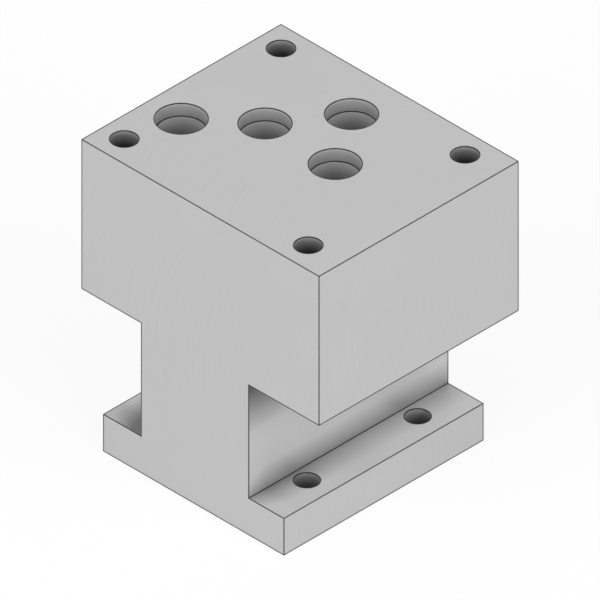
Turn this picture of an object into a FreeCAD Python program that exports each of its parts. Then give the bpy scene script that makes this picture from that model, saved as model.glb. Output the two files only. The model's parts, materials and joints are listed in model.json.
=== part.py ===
import FreeCAD, Part
import math
import os

# Valve adapter block, milled from one bar. Millimetres, +Z up.
# A larger valve is bolted to the head's top face, and the foot is bolted down on the
# pattern of a smaller valve. The bolts of the foot go in from the open sides of the waist.
# The origin is the middle of the block's footprint, on its underside.

# Heights, from the underside up
foot_height = 9.525
waist_height = 28.575
head_height = 38.1

# Upper bolt pattern, tapped in the head, and the metal left round it
upper_bolts_x = 54.0
upper_bolts_y = 46.0
upper_margin = 6.35
head_right_margin = 9.5

# Lower bolt pattern in the foot. Its right-hand pair is a little wider apart.
lower_bolts_x = 40.5
lower_left_pair_y = 31.0
lower_right_pair_y = 32.5
lower_margin = 6.35
foot_setback = 6.35

waist_length = 31.75
edge_break = 0.1

# Ports in the top face: a deep drilled hole with its mouth bored a little wider.
# Their places are measured from the upper pattern's front left bolt.
port_mouth_radius = 11.1125 / 2
port_mouth_depth = 3.175
port_drill_radius = 10.7 / 2
port_drill_depth = 28.0
upper_ports = {
    "pressure": (27.0, 39.7),
    "return": (3.2, 13.5),
    "left_work": (16.7, 24.6),
    "right_work": (37.3, 24.6),
}

# Ports in the underside, each with a flat seat for a sealing ring.
# Their places are measured from the lower pattern's front left bolt.
seal_seat_radius = 12.4 / 2
seal_seat_depth = 1.35
lower_ports = {
    "pressure": (21.5, 25.9),
    "return": (21.5, 5.1),
    "left_work": (12.7, 15.5),
    "right_work": (30.2, 15.5),
}

# Passages from the ports in the underside up to the deep holes of the upper ones.
# The return port stands in the head's overhang, so a slanted drilling leads from its
# mouth to an upright one: the height where they meet, and how far that one goes on.
passage_radius = 6.35 / 2
return_meeting_height = 22.0
return_overrun = 4.0

# Tapped holes for the valve's bolts, and plain holes for the bolts of the foot
thread_radius = 6.0 / 2
tap_drill_radius = 5.0 / 2
thread_depth = 15.0
tap_drill_depth = 18.0
foot_hole_radius = 5.5 / 2

drill_point_angle = 118.0
past_face = 1.0

# Worked out from the sizes above
head_length = upper_margin + upper_bolts_x + head_right_margin
block_width = upper_bolts_y + 2 * upper_margin
foot_length = lower_bolts_x + 2 * lower_margin
waist_top = foot_height + waist_height
block_height = waist_top + head_height

head_left = -head_length / 2
foot_left = head_left + foot_setback
front = -block_width / 2
upper_corner_x = head_left + upper_margin
upper_corner_y = front + upper_margin
lower_corner_x = foot_left + lower_margin
lower_corner_y = -lower_left_pair_y / 2
waist_left = upper_corner_x + (upper_bolts_x - waist_length) / 2


def at(x, y, z):
    return FreeCAD.Vector(x, y, z)


def point_height(radius):
    """Height of the cone that a drill leaves at the end of a hole."""
    return radius / math.tan(math.radians(drill_point_angle / 2))


def blind_hole(radius, mouth, end):
    """A drilled hole from its mouth to the end of its full width, with the drill's cone."""
    run = end - mouth
    wall = Part.makeCylinder(radius, run.Length, mouth, run)
    point = Part.makeCone(radius, 0, point_height(radius), end, run)
    return wall.fuse(point)


def block_outline():
    """The section that runs the whole width: a foot, a narrower waist and the head."""
    foot_right = foot_left + foot_length
    waist_right = waist_left + waist_length
    head_right = head_left + head_length
    corners = [
        (foot_left, 0),
        (foot_right, 0),
        (foot_right, foot_height),
        (waist_right, foot_height),
        (waist_right, waist_top),
        (head_right, waist_top),
        (head_right, block_height),
        (head_left, block_height),
        (head_left, waist_top),
        (waist_left, waist_top),
        (waist_left, foot_height),
        (foot_left, foot_height),
    ]
    points = [at(x, front, z) for x, z in corners]
    return Part.Face(Part.makePolygon(points + points[:1]))


def is_inside_corner(edge):
    """True for the four edges where the waist meets the foot and the head."""
    middle = edge.CenterOfMass
    beside_waist = min(
        abs(middle.x - waist_left), abs(middle.x - waist_left - waist_length)
    )
    runs_across = abs(middle.y) < edge_break
    at_an_end = min(abs(middle.z - foot_height), abs(middle.z - waist_top))
    return runs_across and beside_waist < edge_break and at_an_end < edge_break


def plain_block():
    """The milled bar with its sharp outer edges broken."""
    bar = block_outline().extrude(at(0, block_width, 0))
    outer_edges = [edge for edge in bar.Edges if not is_inside_corner(edge)]
    return bar.makeChamfer(edge_break, outer_edges)


def upper_place(name, z):
    x, y = upper_ports[name]
    return at(upper_corner_x + x, upper_corner_y + y, z)


def lower_place(name, z):
    x, y = lower_ports[name]
    return at(lower_corner_x + x, lower_corner_y + y, z)


def port_hole(name):
    """The bored mouth of an upper port and the drilled hole that goes on below it."""
    mouth = upper_place(name, block_height)
    end = upper_place(name, block_height - port_drill_depth)
    bored = Part.makeCylinder(port_mouth_radius, port_mouth_depth, mouth, at(0, 0, -1))
    return bored.fuse(blind_hole(port_drill_radius, mouth, end))


def seal_seats():
    return [
        Part.makeCylinder(
            seal_seat_radius,
            seal_seat_depth + past_face,
            lower_place(name, -past_face),
            at(0, 0, 1),
        )
        for name in lower_ports
    ]


def straight_passage(name):
    """One drilling from the lower port up into the end of the upper port's hole."""
    start = lower_place(name, 0)
    run = upper_place(name, block_height - port_drill_depth) - start
    return Part.makeCylinder(passage_radius, run.Length, start, run)


def return_passage():
    """A slanted drilling through the port's mouth that meets an upright one."""
    start = upper_place("return", block_height - port_mouth_depth)
    meeting = lower_place("return", return_meeting_height)
    slanted = blind_hole(passage_radius, start, meeting)
    upright_end = lower_place("return", return_meeting_height + return_overrun)
    upright = blind_hole(passage_radius, lower_place("return", 0), upright_end)
    return slanted.fuse(upright)


def tapped_holes():
    """The thread's full width, with the narrower tap drill's hole going on below."""
    holes = []
    for x in (upper_corner_x, upper_corner_x + upper_bolts_x):
        for y in (upper_corner_y, upper_corner_y + upper_bolts_y):
            mouth = at(x, y, block_height)
            thread = Part.makeCylinder(thread_radius, thread_depth, mouth, at(0, 0, -1))
            end = at(x, y, block_height - tap_drill_depth)
            holes += [thread, blind_hole(tap_drill_radius, mouth, end)]
    return holes


def foot_holes():
    pairs = [
        (lower_corner_x, lower_left_pair_y),
        (lower_corner_x + lower_bolts_x, lower_right_pair_y),
    ]
    return [
        Part.makeCylinder(
            foot_hole_radius,
            foot_height + 2 * past_face,
            at(x, side * spacing / 2, -past_face),
            at(0, 0, 1),
        )
        for x, spacing in pairs
        for side in (-1, 1)
    ]


def adapter_block():
    straight = ("pressure", "left_work", "right_work")
    cuts = [port_hole(name) for name in upper_ports] + seal_seats()
    cuts += [straight_passage(name) for name in straight] + [return_passage()]
    cuts += tapped_holes() + foot_holes()
    return plain_block().cut(cuts)


os.makedirs("parts", exist_ok=True)
adapter_block().exportStep("parts/adapter_block.step")
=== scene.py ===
import bpy
import json
import math
from mathutils import Matrix, Vector


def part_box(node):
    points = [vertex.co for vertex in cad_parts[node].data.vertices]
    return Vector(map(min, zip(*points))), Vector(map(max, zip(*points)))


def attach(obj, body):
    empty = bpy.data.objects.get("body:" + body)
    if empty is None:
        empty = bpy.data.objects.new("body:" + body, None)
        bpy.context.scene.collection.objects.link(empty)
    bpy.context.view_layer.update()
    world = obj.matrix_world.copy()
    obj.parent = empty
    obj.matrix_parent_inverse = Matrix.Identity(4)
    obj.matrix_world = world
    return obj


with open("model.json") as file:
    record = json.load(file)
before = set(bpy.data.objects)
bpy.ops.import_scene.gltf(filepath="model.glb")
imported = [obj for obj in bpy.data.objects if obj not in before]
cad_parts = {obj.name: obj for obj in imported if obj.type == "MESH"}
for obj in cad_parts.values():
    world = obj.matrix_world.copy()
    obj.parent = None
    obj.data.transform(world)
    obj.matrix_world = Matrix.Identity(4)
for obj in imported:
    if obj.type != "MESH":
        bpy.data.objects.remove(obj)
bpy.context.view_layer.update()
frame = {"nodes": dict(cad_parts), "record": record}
mounts = {mount["name"]: mount for mount in frame["record"]["mounts"]}
mm = 0.001
print("frame loaded")

# Camera: the photo is an exact isometric drawing, so the view has no perspective.
view = {
    "frameWidth": 600,  # pixels
    "pixelsPerMm": 4.8191,  # true size, square to the view
    "azimuth": 45.0,
    "elevation": 35.2644,
    "aim": (-2.791, 2.784, 35.283),  # mm, the point in the middle of the picture
    "distance": 0.5,  # this and the next two in metres
    "nearestSeen": 0.01,
    "farthestSeen": 10.0,
}


# Puts a camera or lamp at a distance from a point, looking at it.
# Azimuth 0 is in front of the block and 90 on its right.
def lookAt(name, data, point, azimuth, elevation, away):
    turn, rise = math.radians(azimuth), math.radians(elevation)
    back = Vector((math.sin(turn) * math.cos(rise), -math.cos(turn) * math.cos(rise), math.sin(rise)))
    holder = bpy.data.objects.new(name, data)
    holder.location = point + back * away
    holder.rotation_mode = "QUATERNION"
    holder.rotation_quaternion = (-back).to_track_quat("-Z", "Y")
    bpy.context.scene.collection.objects.link(holder)
    return holder


def makeCamera():
    data = bpy.data.cameras.new("camera")
    data.type = "ORTHO"
    data.ortho_scale = view["frameWidth"] / view["pixelsPerMm"] * mm
    data.clip_start = view["nearestSeen"]
    data.clip_end = view["farthestSeen"]
    aim = Vector(view["aim"]) * mm
    camera = lookAt("camera", data, aim, view["azimuth"], view["elevation"], view["distance"])
    bpy.context.scene.camera = camera


makeCamera()
print("camera made")


# A wire is one output socket, and sums on wires add Math nodes.
class Wire:
    def __init__(self, nodes, socket):
        self.nodes = nodes
        self.socket = socket

    def out(self, name):  # another output of the same node
        return Wire(self.nodes, self.socket.node.outputs[name])

    def sum(self, operation, *others):
        return self.nodes.add("ShaderNodeMath", {"operation": operation}, self, *others)

    def __add__(self, other):
        return self.sum("ADD", other)

    def __sub__(self, other):
        return self.sum("SUBTRACT", other)

    def __rsub__(self, other):
        return self.nodes.add("ShaderNodeMath", {"operation": "SUBTRACT"}, other, self)

    def __mul__(self, other):
        return self.sum("MULTIPLY", other)

    def __truediv__(self, other):
        return self.sum("DIVIDE", other)

    def __neg__(self):
        return self * -1.0

    def __abs__(self):
        return self.sum("ABSOLUTE")

    __radd__ = __add__
    __rmul__ = __mul__

    def below(self, limit):
        return self.sum("LESS_THAN", limit)

    def above(self, limit):
        return self.sum("GREATER_THAN", limit)

    def least(self, other):
        return self.sum("MINIMUM", other)

    def most(self, other):
        return self.sum("MAXIMUM", other)

    def root(self):
        return self.sum("SQRT")


# The nodes of one tree
class Nodes:
    def __init__(self, tree):
        self.tree = tree

    # Adds a node of any type: settings first, then its inputs in order or by name.
    def add(self, kind, settings=None, *inputs, output=0, **named):
        node = self.tree.nodes.new(kind)
        for key, value in (settings or {}).items():
            setattr(node, key, value)
        byName = [(name.replace("_", " "), value) for name, value in named.items()]
        for key, value in list(enumerate(inputs)) + byName:
            if isinstance(value, Wire):
                self.tree.links.new(value.socket, node.inputs[key])
            else:
                node.inputs[key].default_value = value
        return Wire(self, node.outputs[output]) if node.outputs else None


def newMaterial(name):
    material = bpy.data.materials.new(name)
    material.use_nodes = True
    material.node_tree.nodes.clear()
    return material, Nodes(material.node_tree)


def parts(vector):
    x = vector.nodes.add("ShaderNodeSeparateXYZ", None, vector)
    return x, x.out("Y"), x.out("Z")


def distance(a, b):
    return (a * a + b * b).root()


# Goes from one wire or number to another where a mask is 1
def blend(mask, usual, masked):
    return usual + mask * (masked - usual)


# The block's machined metal. Lengths are in mm, and a grey of 1 is white.
blockLook = {
    "grey": 0.52,
    "metallic": 0.3,
    "roughness": 0.5,
    # places on the block that no mount gives
    "footTop": 9.525,
    "headUnder": 38.1,
    "footMargin": 6.35,
    "waistHalf": 15.875,
    # tool marks: the cutter's radius, the middle of its path and the feed between two marks
    "topCutter": (40.0, -4.0, 0.55),
    "frontCutter": (52.0, 36.0, 0.55),
    "sideCutter": (40.0, 56.0, 0.50),
    "footCutter": (16.0, 6.0, 0.45),
    "slotCutter": (12.0, 9.6, 0.40),
    "wallFeed": 0.30,
    "ringFeed": 0.18,
    "markTone": 0.12,  # how much the marks change the grey, and then the roughness
    "markRoughness": 0.12,
    "markDepth": 0.004,
    "bumpStrength": 0.5,
    # clouds left by handling and the metal's fine grain: how many in a mm, and what they change
    "cloudScale": 0.06,
    "cloudTone": 0.05,
    "cloudRoughness": 0.08,
    "grainScale": 6.0,
    "grainTone": 0.08,
    "grainHeight": 0.5,  # beside that of the marks
    "noiseDetail": 4.0,
    "noiseMiddle": 0.5,  # taken off, so that streaks, clouds and grain vary about 0
    # thin dark lines: their greys, and how far each reaches from the sharp corner
    "edgeGrey": 0.05,
    "rimGrey": 0.02,
    "edgeBand": 0.18,
    "outlineBand": 0.38,
    "cornerBand": 0.14,
    "rimBand": 0.21,
    "rimDepth": 0.17,
    "stepDepth": 0.08,
    # how a point's place and facing are judged
    "sameLevel": 0.01,  # heights nearer than this count as one
    "wallReach": 0.3,  # a point this near to a hole's radius or an outer face lies on it
    "squarely": 0.95,  # how squarely a flat face looks along its axis
    "slantwise": 0.2,  # how far from every axis a broken edge looks
    "outOfReach": 10.0,  # added to the distance from an edge that a face doesn't meet
    # painted shade and painted light: the grey darkened down the holes, towards the slots' inside
    # corners and under the head, and lightened just inside the rims, deep in the threads and along
    # parts of the ledges, as two distances and its share at each. In a hole they are depths below
    # the face, and in a slot distances from an inside corner. The larger share holds near a rim,
    # and the smaller one on the slots' walls.
    "mouth": (0.0, 3.175, 1.0, 0.65),
    "mouthRim": (0.0, 2.7, 1.32, 0.0),
    "portDrilling": (3.175, 7.8, 1.06, 0.62),
    "boltHole": (0.0, 4.2, 0.56, 0.08),
    "boltHoleRim": (0.0, 2.27, 0.93, 0.0),
    "boltThread": (4.2, 6.0, 0.08, 0.7),
    "footHole": (0.0, 3.6, 0.51, 0.15),
    "footHoleRim": (0.0, 2.7, 0.75, 0.0),
    "footHolesAlong": (13.1, 45.6, 1.0, 1.35),  # from the front, times the two before
    "slotWall": (0.0, 6.3, 0.54, 1.12),
    "slotWallTop": (1.0, 12.5, 0.18, 1.10),
    "leftLedge": (4.9, 10.8, 0.35, 1.03),
    "leftAlong": (3.3, 7.3, 1.0, 1.28),  # from the front, times the one before
    # the right ledge: along its inside corner from the front, along its edge both ways from
    # where it is lightest, and how far it goes from the one share to the other
    "rightCorner": (12.3, 33.3, 0.44, 0.80),
    "rightEdge": (4.0, 16.0, 1.38, 1.19),
    "rightLedge": (0.0, 6.8, 0.0, 1.0),
    "lightestAt": 39.3,
    "openEnd": (0.0, 5.0, 2.2, 0.0),  # mm added to those distances at the slots' front ends
}

# Where the block's outer faces lie, and how deep its mouths and seats are, in mm
lowest, highest = (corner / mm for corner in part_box("adapter_block"))
waistMiddle = mounts["valve_bolts"]["pos_m"][0] / mm
waistLeft = waistMiddle - blockLook["waistHalf"]
waistRight = waistMiddle + blockLook["waistHalf"]
footLeft = mounts["foot_bolts_left"]["pos_m"][0] / mm - blockLook["footMargin"]
footRight = mounts["foot_bolts_right"]["pos_m"][0] / mm + blockLook["footMargin"]
mouthDepth = mounts["valve_port_return"]["dims"]["length_mm"]
seatDepth = mounts["foot_port_return"]["dims"]["length_mm"]


# A share that changes evenly over a distance, which carries the painted shade and light
def shade(name, measure):
    return measure.nodes.add("ShaderNodeMapRange", None, measure, *blockLook[name])


# Streaks: a value about 0 that changes only along one measure, given in strokes
def streaks(along):
    noise = along.nodes.add("ShaderNodeTexNoise", {"noise_dimensions": "1D"},
                            W=along, Scale=1.0, Detail=blockLook["noiseDetail"])
    return noise - blockLook["noiseMiddle"]


# Clouds or grains: a value about 0 that changes so many times in a mm
def specks(place, scale):
    noise = place.nodes.add("ShaderNodeTexNoise", None,
                            Vector=place, Scale=scale, Detail=blockLook["noiseDetail"])
    return noise - blockLook["noiseMiddle"]


# Arcs that a turning cutter leaves as it feeds along one axis
def cutterArcs(along, across, cutter):
    radius, middle, feed = blockLook[cutter]
    offset = across - middle
    sweep = (radius * radius - offset * offset).most(0.0).root()
    return streaks((along + sweep) / feed)


# Centres and radii of the round holes of one mount
def holesOf(mount):
    dims = mount["dims"]
    x, y = (value / mm for value in mount["pos_m"][:2])
    halfX = dims.get("spacing_x_mm", 0) / 2
    halfY = dims.get("spacing_y_mm", 0) / 2
    radius = dims.get("r_mm") or dims["hole_r_mm"]
    return sorted({(x + i * halfX, y + j * halfY, radius) for i in (-1, 1) for j in (-1, 1)})


# How far outside the nearest hole a point lies, among the mounts whose names start so
def outsideHoles(start, x, y):
    holes = [hole for name in mounts if name.startswith(start) for hole in holesOf(mounts[name])]
    gaps = [distance(x - holeX, y - holeY) - radius for holeX, holeY, radius in holes]
    nearest = gaps[0]
    for gap in gaps[1:]:
        nearest = nearest.least(gap)
    return nearest


# Where a point of the surface lies, in mm, and which way the surface looks there
def readSurface(nodes):
    look, level = blockLook, blockLook["sameLevel"]
    spot = nodes.add("ShaderNodeTexCoord", output="Object")
    place = nodes.add("ShaderNodeVectorMath", {"operation": "SCALE"}, spot, Scale=1 / mm)
    x, y, z = parts(place)
    here = {"place": place, "x": x, "y": y, "z": z}
    here["belowTop"], here["aboveBase"] = highest.z - z, z - lowest.z
    here["belowHead"], here["aboveFoot"] = look["headUnder"] - z, z - look["footTop"]
    here["fromWaist"] = abs(x - waistMiddle) - look["waistHalf"]
    here["inHead"], here["inFoot"] = here["belowHead"].below(-level), here["aboveFoot"].below(-level)
    here["inSlot"] = (1.0 - here["inHead"]) * (1.0 - here["inFoot"])
    for start in ("valve_port", "valve_bolts", "foot_port", "foot_bolts"):
        here[start] = outsideHoles(start, x, y)

    facing = parts(spot.out("Normal"))
    here["inHole"], here["holeShade"] = holeWalls(here)
    here["flat"] = [abs(part).above(look["squarely"]) * (1.0 - here["inHole"]) for part in facing]
    here["right"], here["up"] = (facing[axis].above(look["squarely"]) for axis in (0, 2))
    here["front"] = facing[1].below(-look["squarely"])
    straight = abs(facing[0]).most(abs(facing[1])).most(abs(facing[2]))
    here["slant"] = (1.0 - straight).above(look["slantwise"])
    return here


# The painted shade down a hole's wall, with painted light just inside the rim
def wallShade(name, depth):
    return shade(name, depth).most(shade(name + "Rim", depth))


# Which points lie on the walls of the holes, and the painted shade there: a share of the metal's grey,
# darker with depth and lighter just inside the rims
def holeWalls(here):
    reach, level = blockLook["wallReach"], blockLook["sameLevel"]
    depth, aboveBase = here["belowTop"], here["aboveBase"]
    inTop = here["inHead"] * depth.above(level)
    port = here["valve_port"].below(reach) * inTop
    bolt = here["valve_bolts"].below(reach) * inTop
    foot = here["foot_bolts"].below(reach) * here["inFoot"]
    seat = here["foot_port"].below(reach) * here["inFoot"] * aboveBase.above(level)
    isDrilled = depth.above(mouthDepth)
    portShade = blend(isDrilled, wallShade("mouth", depth), shade("portDrilling", depth))
    boltShade = wallShade("boltHole", depth).most(shade("boltThread", depth))
    footShade = wallShade("footHole", aboveBase.least(-here["aboveFoot"]))
    footShade = footShade * shade("footHolesAlong", here["y"] - lowest.y)
    share = blend(foot, blend(bolt, blend(port, 1.0, portShade), boltShade), footShade)
    return port.most(bolt).most(foot).most(seat), share


# Painted shade on the walls and ledges of the two slots beside the waist: a share of the metal's grey,
# darker towards the inside corners and under the head, and lighter towards the open front ends and
# along parts of the ledges
def slotShade(here):
    fromFront = here["y"] - lowest.y
    corner = distance(here["fromWaist"], here["aboveFoot"]) + shade("openEnd", fromFront)
    wall = shade("slotWall", corner).least(shade("slotWallTop", here["belowHead"]))
    edge = shade("rightEdge", abs(fromFront - blockLook["lightestAt"]))
    right = blend(shade("rightLedge", corner), shade("rightCorner", fromFront), edge)
    left = shade("leftLedge", corner) * shade("leftAlong", fromFront)
    ledge = blend(here["x"].below(waistMiddle), right, left)
    onWall, onLedge = (here["inSlot"] * here["flat"][axis] for axis in (0, 2))
    return blend(onLedge, blend(onWall, 1.0, wall), ledge)


# Arcs and lines on the flat faces, and rings round and round in the holes
def toolMarks(here):
    x, y, z = here["x"], here["y"], here["z"]
    flatX, flatY, flatZ = here["flat"]
    slotArcs = cutterArcs(y, here["fromWaist"], "slotCutter")
    marksZ = blend(here["inSlot"], cutterArcs(x, y, "topCutter"), slotArcs)
    sideArcs = blend(here["inFoot"], cutterArcs(y, z, "sideCutter"), cutterArcs(y, z, "footCutter"))
    marksX = blend(here["inSlot"], sideArcs, streaks(y / blockLook["wallFeed"]))
    marksY = cutterArcs(x, z, "frontCutter")
    atTop = here["valve_port"].least(here["valve_bolts"])
    atFoot = here["foot_port"].least(here["foot_bolts"])
    rings = streaks((z + blend(here["inHead"], atFoot, atTop)) / blockLook["ringFeed"])
    rings = rings * (1.0 - flatX.most(flatY).most(flatZ))
    return marksX * flatX + marksY * flatY + marksZ * flatZ + rings


# Thin lines at the block's broken outer edges. Those that end a face against the
# background, as the photo sees the block, are drawn wider.
def edgeLines(here):
    x, y, z = here["x"], here["y"], here["z"]
    look = blockLook
    narrow, wide, level = look["edgeBand"], look["outlineBand"], look["sameLevel"]
    overFoot, toHead = here["aboveFoot"].above(level), here["belowHead"].below(level)

    def side(atFoot, atWaist, atHead):
        return atFoot + overFoot * (atWaist - atFoot) + toHead * (atHead - atWaist)

    beside = (x - waistLeft).below(wide).most((x - waistRight).above(-narrow))
    toLeft = x - side(footLeft, waistLeft, lowest.x)
    toRight = side(footRight, waistRight, highest.x) - x
    toFront, toBack = y - lowest.y, highest.y - y
    toUnder = z - toHead * beside * look["headUnder"]
    toTop = highest.z - z - (1.0 - overFoot) * beside * (highest.z - look["footTop"])

    toSide, toEnd, toLevel = toLeft.least(toRight), toFront.least(toBack), toUnder.least(toTop)
    skipX, skipY, skipZ = (share * look["outOfReach"] for share in here["flat"])
    nearest = (toSide + skipX).least(toEnd + skipY).least(toLevel + skipZ)
    line = nearest.below(narrow)
    line = line.most(toLeft.below(wide) * here["up"].most(here["front"]))
    line = line.most(toBack.below(wide) * here["up"].most(here["right"]))
    line = line.most(toUnder.below(wide) * here["right"].most(here["front"]))
    outside = toSide.least(toEnd).least(toLevel).below(look["wallReach"])
    return line.most(here["slant"]) * outside * (1.0 - here["inHole"])


# Thin dark lines at every hole's rim, at the step inside the valve's ports and in the inside
# corners of the slots and of the sealing rings' seats; at the step and in those corners they are
# painted shade
def rimLines(here):
    band, deep = blockLook["rimBand"], blockLook["rimDepth"]
    atPort, atFootBolt = here["valve_port"].below(band), here["foot_bolts"].below(band)
    top = atPort.most(here["valve_bolts"].below(band)) * here["belowTop"].below(deep)
    ledge = atFootBolt * abs(here["aboveFoot"]).below(deep)
    under = atFootBolt.most(here["foot_port"].below(band)) * here["aboveBase"].below(deep)
    step = atPort * abs(here["belowTop"] - mouthDepth).below(blockLook["stepDepth"])
    toCorner = distance(here["fromWaist"], abs(here["aboveFoot"]).least(abs(here["belowHead"])))
    corner = toCorner.below(blockLook["cornerBand"]) * (1.0 - here["flat"][1])
    toSeatFloor = distance(here["foot_port"], here["aboveBase"] - seatDepth)
    corner = corner.most(toSeatFloor.below(blockLook["cornerBand"]))
    return top.most(ledge).most(under).most(step).most(corner)


def machinedMetal():
    material, nodes = newMaterial("milled_aluminium")
    look = blockLook
    here = readSurface(nodes)
    marks = toolMarks(here)
    cloud, grain = specks(here["place"], look["cloudScale"]), specks(here["place"], look["grainScale"])
    tone = marks * look["markTone"] + cloud * look["cloudTone"] + grain * look["grainTone"] + 1.0

    # the grey carries the painted shade down the holes and in the slots, and the dark lines at edges
    # and rims
    grey = blend(edgeLines(here), look["grey"], look["edgeGrey"]) * here["holeShade"]
    grey = grey.least(blend(rimLines(here), 1.0, look["rimGrey"])) * tone * slotShade(here)
    colour = nodes.add("ShaderNodeCombineColor", None, grey, grey, grey)
    rough = marks * look["markRoughness"] + cloud * look["cloudRoughness"] + look["roughness"]
    bump = nodes.add("ShaderNodeBump", None, Strength=look["bumpStrength"],
                     Distance=look["markDepth"] * mm, Height=marks + grain * look["grainHeight"])
    shader = nodes.add("ShaderNodeBsdfPrincipled", None, Base_Color=colour,
                       Metallic=look["metallic"], Roughness=rough, Normal=bump)
    nodes.add("ShaderNodeOutputMaterial", None, shader)
    return material


blockMaterial = machinedMetal()
for slot in frame["nodes"]["adapter_block"].material_slots:
    slot.material = blockMaterial
print("block finished")


# Threads in the four holes for the valve's bolts. Lengths are in mm.
threads = {
    "Pitch": 1.0,
    "Start Below Face": 4.2,
    "Depth": 14.8,
    "Root Radius": 3.02,
    "Ridge": 0.5,
    "Crest Width": 0.14,
    "Root Width": 0.94,
    "Points Per Turn": 40,
    "Run Out": 0.04,  # share of the length over which each end fades
    "Least Fade": 0.02,  # share of the ridge's size that is left at its very ends
}


# One spiral ridge, right-handed, hung below a point on the face and copied to each hole
def threadTree():
    tree = bpy.data.node_groups.new("threadTree", "GeometryNodeTree")
    for name, value in threads.items():
        kind = "NodeSocketInt" if isinstance(value, int) else "NodeSocketFloat"
        tree.interface.new_socket(name, in_out="INPUT", socket_type=kind)
    for name in ("Spacing X", "Spacing Y", "Middle X", "Middle Y", "Face Height"):
        tree.interface.new_socket(name, in_out="INPUT", socket_type="NodeSocketFloat")
    tree.interface.new_socket("Geometry", in_out="OUTPUT", socket_type="NodeSocketGeometry")
    nodes = Nodes(tree)
    sizes = nodes.add("NodeGroupInput")

    length, radius = sizes.out("Depth") - sizes.out("Start Below Face"), sizes.out("Root Radius")
    spiral = nodes.add("GeometryNodeCurveSpiral", None, Height=length, Reverse=True,
                       Resolution=sizes.out("Points Per Turn"), Rotations=length / sizes.out("Pitch"),
                       Start_Radius=radius, End_Radius=radius)
    along = nodes.add("GeometryNodeSplineParameter")
    fade = (along.least(1.0 - along) / sizes.out("Run Out")).least(1.0).most(sizes.out("Least Fade"))
    spiral = nodes.add("GeometryNodeSetCurveRadius", None, Curve=spiral, Radius=fade)
    spiral = nodes.add("GeometryNodeSetCurveNormal", {"mode": "Z_UP"}, Curve=spiral)

    profile = nodes.add("GeometryNodeCurvePrimitiveQuadrilateral", {"mode": "TRAPEZOID"},
                        Height=sizes.out("Ridge"), Bottom_Width=sizes.out("Root Width"),
                        Top_Width=sizes.out("Crest Width"), Offset=0.0)
    inward = nodes.add("ShaderNodeCombineXYZ", None, sizes.out("Ridge") / -2.0, 0.0, 0.0)
    profile = nodes.add("GeometryNodeTransform", None, profile, Translation=inward,
                        Rotation=(0.0, 0.0, math.pi / 2))
    ridge = nodes.add("GeometryNodeCurveToMesh", None, spiral, profile, Fill_Caps=True)
    drop = nodes.add("ShaderNodeCombineXYZ", None, 0.0, 0.0, -sizes.out("Depth"))
    ridge = nodes.add("GeometryNodeTransform", None, ridge, Translation=drop)

    holes = nodes.add("GeometryNodeMeshGrid", None, sizes.out("Spacing X"),
                      sizes.out("Spacing Y"), 2, 2)  # two by two holes
    middle = nodes.add("ShaderNodeCombineXYZ", None, sizes.out("Middle X"),
                       sizes.out("Middle Y"), sizes.out("Face Height"))
    holes = nodes.add("GeometryNodeTransform", None, holes, Translation=middle)
    copies = nodes.add("GeometryNodeInstanceOnPoints", None, holes, Instance=ridge)
    solid = nodes.add("GeometryNodeRealizeInstances", None, copies)
    finished = nodes.add("GeometryNodeSetMaterial", None, solid, Material=blockMaterial)
    nodes.add("NodeGroupOutput", None, finished)
    return tree


def makeThreads():
    bolts = mounts["valve_bolts"]
    sizes = dict(threads)
    sizes["Spacing X"] = bolts["dims"]["spacing_x_mm"]
    sizes["Spacing Y"] = bolts["dims"]["spacing_y_mm"]
    for name, value in zip(("Middle X", "Middle Y", "Face Height"), bolts["pos_m"]):
        sizes[name] = value / mm
    piece = bpy.data.objects.new("valve_bolt_threads", bpy.data.meshes.new("threads"))
    bpy.context.scene.collection.objects.link(piece)
    modifier = piece.modifiers.new("threads", "NODES")
    modifier.node_group = threadTree()
    for socket in modifier.node_group.interface.items_tree:
        if socket.in_out == "INPUT":
            modifier[socket.identifier] = sizes[socket.name]
    posed = piece.evaluated_get(bpy.context.evaluated_depsgraph_get())
    mesh = bpy.data.meshes.new_from_object(posed)
    mesh.transform(Matrix.Scale(mm, 4))
    mesh.materials.clear()  # drops the empty slot that the tree leaves in front
    mesh.materials.append(blockMaterial)
    piece.modifiers.remove(modifier)
    piece.data = mesh
    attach(piece, "root")


makeThreads()
print("threads cut")


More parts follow.
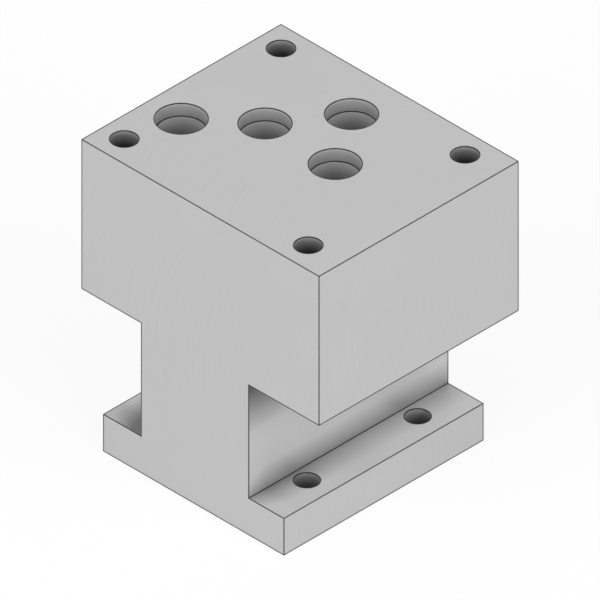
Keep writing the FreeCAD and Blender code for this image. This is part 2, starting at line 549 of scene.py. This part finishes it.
# Room: floor, world and lamps, in metres, degrees and watts
room = {
    "floorSize": 6.0,
    "floorGrey": 0.85,  # of the light that it gives back; the camera sees it as white
    "floorWhite": 0.86,  # share of plain white in what the camera sees, to soften the shadow
    "white": (1.0, 1.0, 1.0, 1.0),
    "worldStrength": 0.5,
    "lampSize": 1.6,
    "lampDistance": 2.5,
    "lampElevation": 37.0,  # at this height the top comes out as bright as the sides
    "frontLamp": (0.0, 26.6),  # azimuth and power
    "rightLamp": (90.0, 26.6),
}


# 1 where the camera, a reflection or glass sees a surface, and 0 where it only gives light
def seenDirectly(nodes):
    path = nodes.add("ShaderNodeLightPath")
    return path.most(path.out("Is Glossy Ray")).most(path.out("Is Transmission Ray"))


def makeFloor():
    half = room["floorSize"] / 2
    outline = [(-half, -half, 0), (half, -half, 0), (half, half, 0), (-half, half, 0)]
    mesh = bpy.data.meshes.new("floor")
    mesh.from_pydata(outline, [], [(0, 1, 2, 3)])
    floor = bpy.data.objects.new("floor", mesh)
    bpy.context.scene.collection.objects.link(floor)
    material, nodes = newMaterial("floor_paint")
    seen = seenDirectly(nodes)
    grey = blend(seen, room["floorGrey"], 1.0)
    colour = nodes.add("ShaderNodeCombineColor", None, grey, grey, grey)
    paint = nodes.add("ShaderNodeBsdfDiffuse", None, colour)
    shine = nodes.add("ShaderNodeEmission", None, room["white"], 1.0)
    shader = nodes.add("ShaderNodeMixShader", None, seen * room["floorWhite"], paint, shine)
    nodes.add("ShaderNodeOutputMaterial", None, shader)
    mesh.materials.append(material)


def makeWorld():
    world = bpy.data.worlds.new("world")
    world.use_nodes = True
    world.node_tree.nodes.clear()
    nodes = Nodes(world.node_tree)
    strength = blend(seenDirectly(nodes), room["worldStrength"], 1.0)
    shader = nodes.add("ShaderNodeBackground", None, room["white"], strength)
    nodes.add("ShaderNodeOutputWorld", None, shader)
    bpy.context.scene.world = world


def addLamp(name):
    azimuth, power = room[name]
    data = bpy.data.lights.new(name, "AREA")
    data.shape = "SQUARE"
    data.size = room["lampSize"]
    data.energy = power
    lookAt(name, data, Vector(), azimuth, room["lampElevation"], room["lampDistance"])


makeFloor()
makeWorld()
addLamp("frontLamp")
addLamp("rightLamp")
bpy.context.scene.view_settings.view_transform = "Standard"
print("room made")
